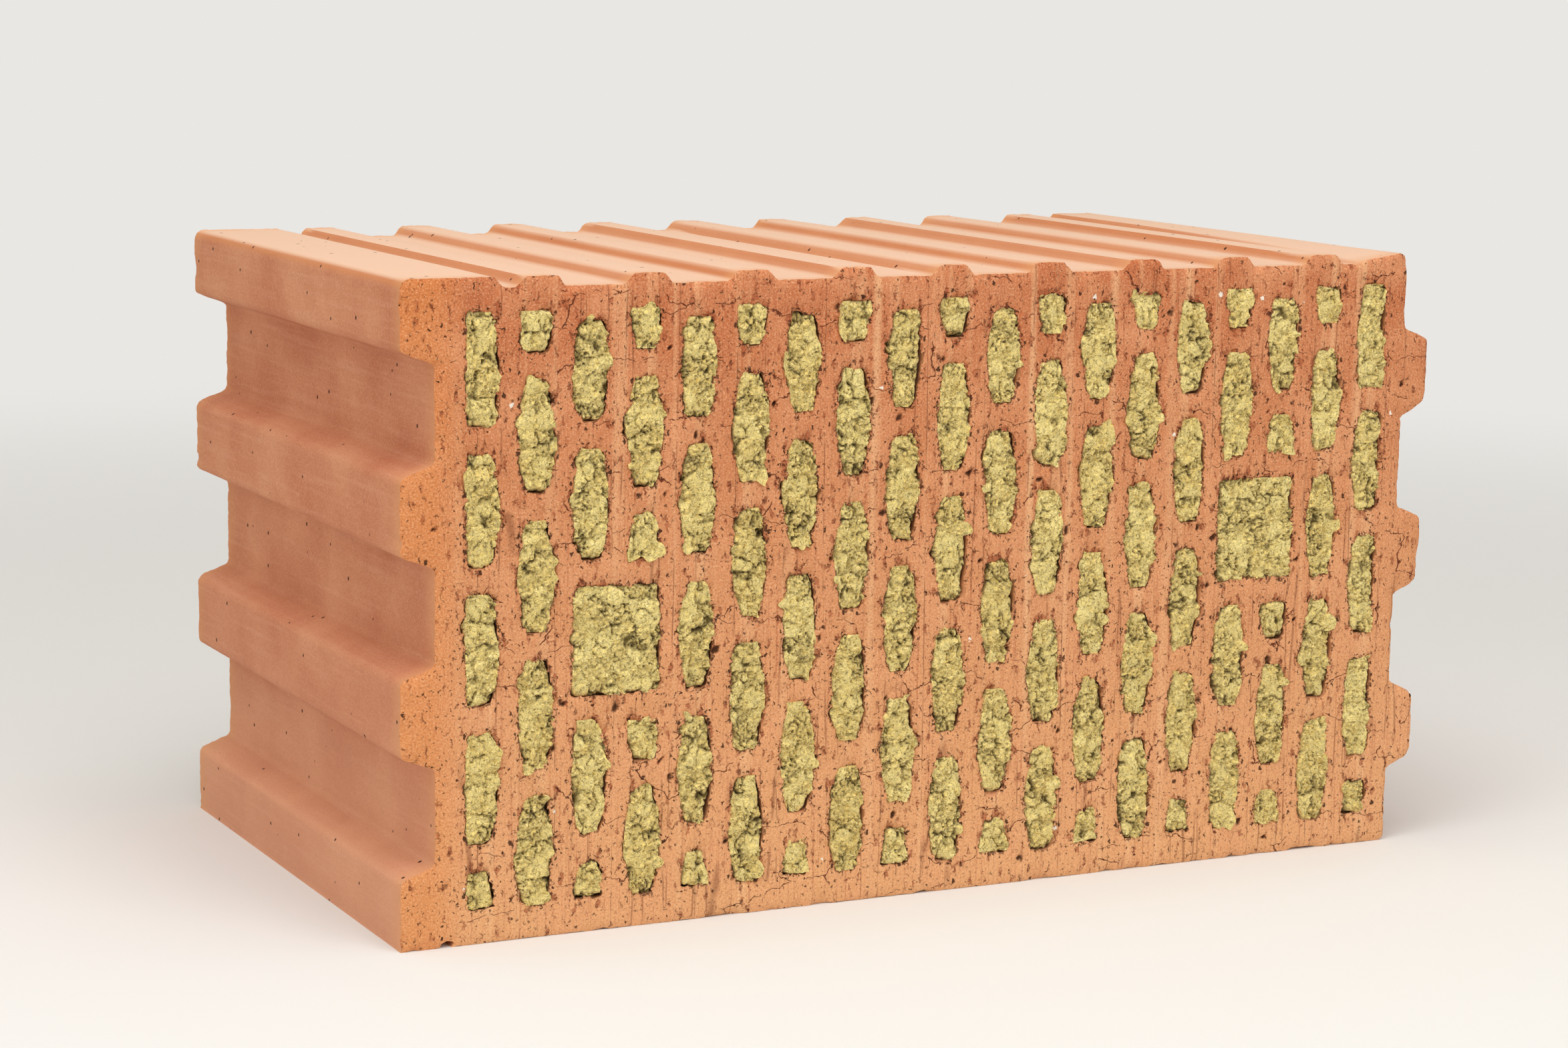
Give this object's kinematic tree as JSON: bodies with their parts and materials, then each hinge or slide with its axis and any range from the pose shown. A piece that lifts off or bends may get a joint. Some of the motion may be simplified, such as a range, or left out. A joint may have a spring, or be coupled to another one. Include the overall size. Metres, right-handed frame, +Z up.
{
  "type": "insulated clay brick",
  "caption": "Large extruded clay brick with tongue-and-groove ends, ribbed top and staggered barrel-shaped cells packed with granulated mineral wool, for insulating masonry walls.",
  "frame": {"origin": "middle of the bottom of the overall box, on the floor that the brick lies on", "axes": "+X along the length towards the tongued end, +Y along the cells away from the viewed cut face, +Z up"},
  "size_m": [0.452, 0.249, 0.248],
  "materials": {
    "fired_clay": "matte, wire-cut ends",
    "mineral_wool": "loose granulated tufts"
  },
  "bodies": {
    "root": {"clay_block": "fired_clay", "wool_column_01": "mineral_wool", "wool_column_02": "mineral_wool", "wool_column_03": "mineral_wool", "wool_column_04": "mineral_wool", "wool_column_05": "mineral_wool", "wool_column_06": "mineral_wool", "wool_column_07": "mineral_wool", "wool_column_08": "mineral_wool", "wool_column_09": "mineral_wool", "wool_column_10": "mineral_wool", "wool_column_11": "mineral_wool", "wool_column_12": "mineral_wool", "wool_column_13": "mineral_wool", "wool_column_14": "mineral_wool", "wool_column_15": "mineral_wool", "wool_column_16": "mineral_wool", "wool_column_17": "mineral_wool", "wool_column_18": "mineral_wool", "wool_column_19": "mineral_wool", "wool_grip_left": "mineral_wool", "wool_grip_right": "mineral_wool"}
  },
  "joints": []
}
